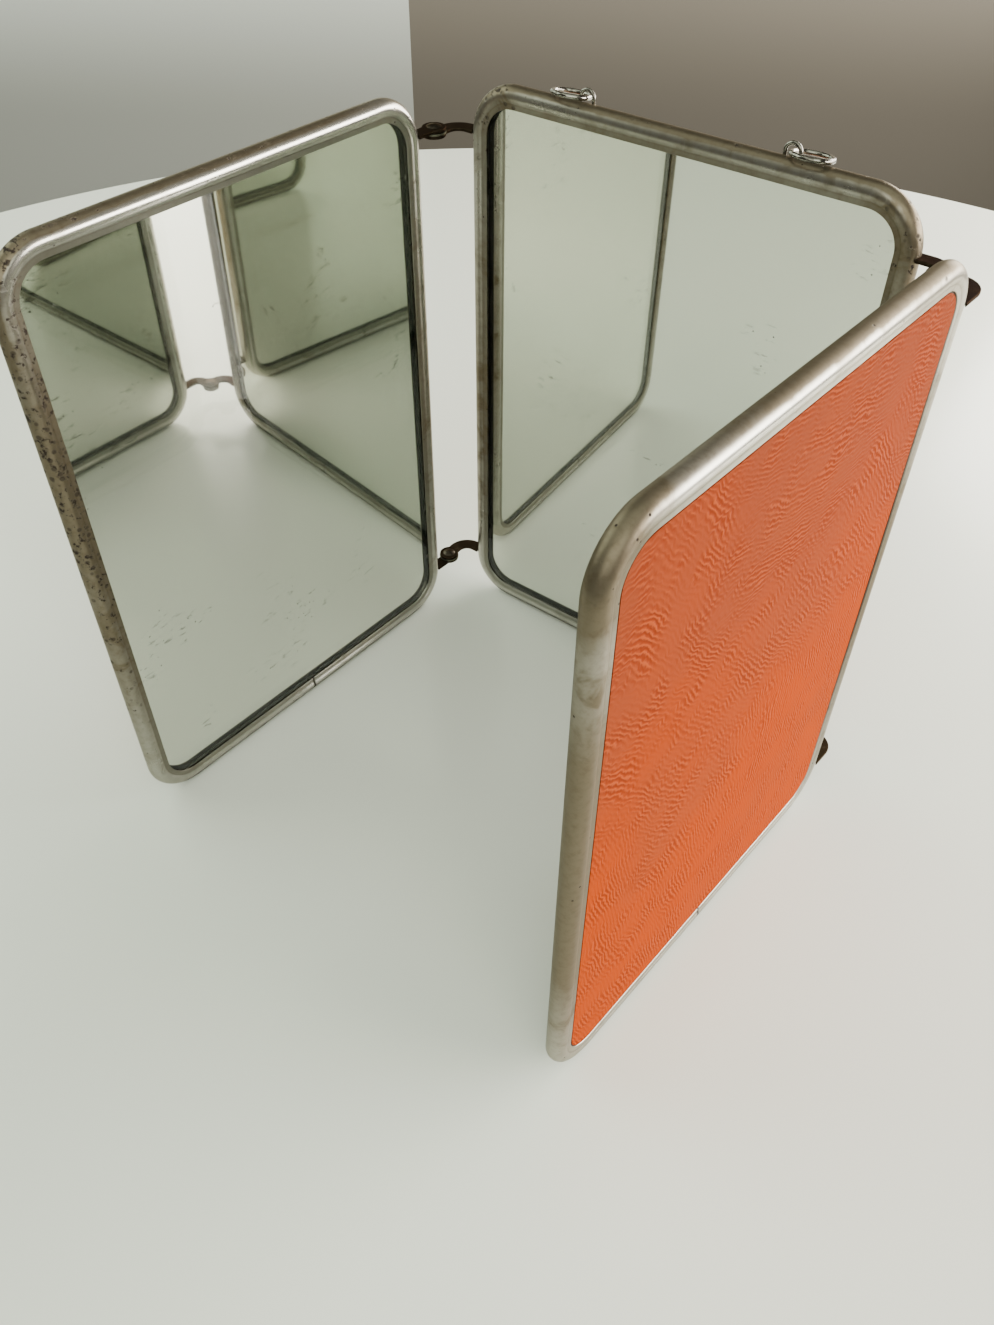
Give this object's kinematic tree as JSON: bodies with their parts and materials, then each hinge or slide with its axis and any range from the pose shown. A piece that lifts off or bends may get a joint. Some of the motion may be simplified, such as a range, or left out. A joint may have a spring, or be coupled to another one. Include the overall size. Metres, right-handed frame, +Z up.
{
  "type": "folding triptych mirror",
  "caption": "Folding table mirror: framed glass panels joined by riveted swan-neck hinges, side panels fold shut over the centre, with hanging rings on top.",
  "frame": {"origin": "middle of the centre panel's bottom edge, half way through its thickness, on the surface it stands on", "axes": "+Z up, -Y the way the centre glass faces, +X to the right of someone facing the centre glass"},
  "size_m": [0.166, 0.1531, 0.1834],
  "materials": {
    "nickel_plate": "worn satin nickel, brown in the creases, pitted along the outer edges",
    "clear_glass": "polished sheet with a faint green tint",
    "silver_coat": "silvered, with a few specks",
    "grey_card": "dark grey board",
    "orange_watered_paper": "satin, embossed with fine water-silk ridges",
    "tin_solder_strip": "dull tinned strip",
    "dark_hinge_steel": "tarnished dark brown, edges rubbed brighter",
    "pale_washer_metal": "dull greenish grey, rubbed paler round the edge",
    "bright_wire": "worn nickel wire, dark where it rubs"
  },
  "bodies": {
    "centre": {"centre_frame": "nickel_plate", "centre_glass": "clear_glass", "centre_silvering": "silver_coat", "centre_backing_card": "grey_card", "centre_back_cover": "orange_watered_paper", "centre_seam_tongue": "tin_solder_strip", "left_lower_hinge_centre_arm": "dark_hinge_steel", "left_lower_hinge_washer": "pale_washer_metal", "left_lower_hinge_rivet": "dark_hinge_steel", "left_upper_hinge_centre_arm": "dark_hinge_steel", "left_upper_hinge_washer": "pale_washer_metal", "left_upper_hinge_rivet": "dark_hinge_steel", "left_hanger_staple": "bright_wire", "right_lower_hinge_centre_arm": "dark_hinge_steel", "right_lower_hinge_washer": "pale_washer_metal", "right_lower_hinge_rivet": "dark_hinge_steel", "right_upper_hinge_centre_arm": "dark_hinge_steel", "right_upper_hinge_washer": "pale_washer_metal", "right_upper_hinge_rivet": "dark_hinge_steel", "right_hanger_staple": "bright_wire"},
    "left_wing": {"left_frame": "nickel_plate", "left_glass": "clear_glass", "left_silvering": "silver_coat", "left_backing_card": "grey_card", "left_back_cover": "orange_watered_paper", "left_seam_tongue": "tin_solder_strip", "left_lower_hinge_wing_arm": "dark_hinge_steel", "left_upper_hinge_wing_arm": "dark_hinge_steel"},
    "right_wing": {"right_frame": "nickel_plate", "right_glass": "clear_glass", "right_silvering": "silver_coat", "right_backing_card": "grey_card", "right_back_cover": "orange_watered_paper", "right_seam_tongue": "tin_solder_strip", "right_lower_hinge_wing_arm": "dark_hinge_steel", "right_upper_hinge_wing_arm": "dark_hinge_steel"},
    "left_ring": {"left_hanger_ring": "bright_wire"},
    "right_ring": {"right_hanger_ring": "bright_wire"}
  },
  "joints": [
    {"name": "left_fold", "type": "hinge", "parent": "centre", "child": "left_wing", "pos_m": [-0.0722, -0.0094, 0.09], "axis": [0, 0, 1], "range_deg": [-151.5, 93.5]},
    {"name": "right_fold", "type": "hinge", "parent": "centre", "child": "right_wing", "pos_m": [0.0726, -0.008, 0.09], "axis": [0, 0, -1], "range_deg": [-149, 86]},
    {"name": "left_ring_swing", "type": "hinge", "parent": "centre", "child": "left_ring", "pos_m": [-0.029, 0.001, 0.18095], "axis": [0, 0.9781, -0.2079], "range_deg": [0, 180]},
    {"name": "right_ring_swing", "type": "hinge", "parent": "centre", "child": "right_ring", "pos_m": [0.029, 0.001, 0.18095], "axis": [0, -0.9781, 0.2079], "range_deg": [0, 180]}
  ]
}
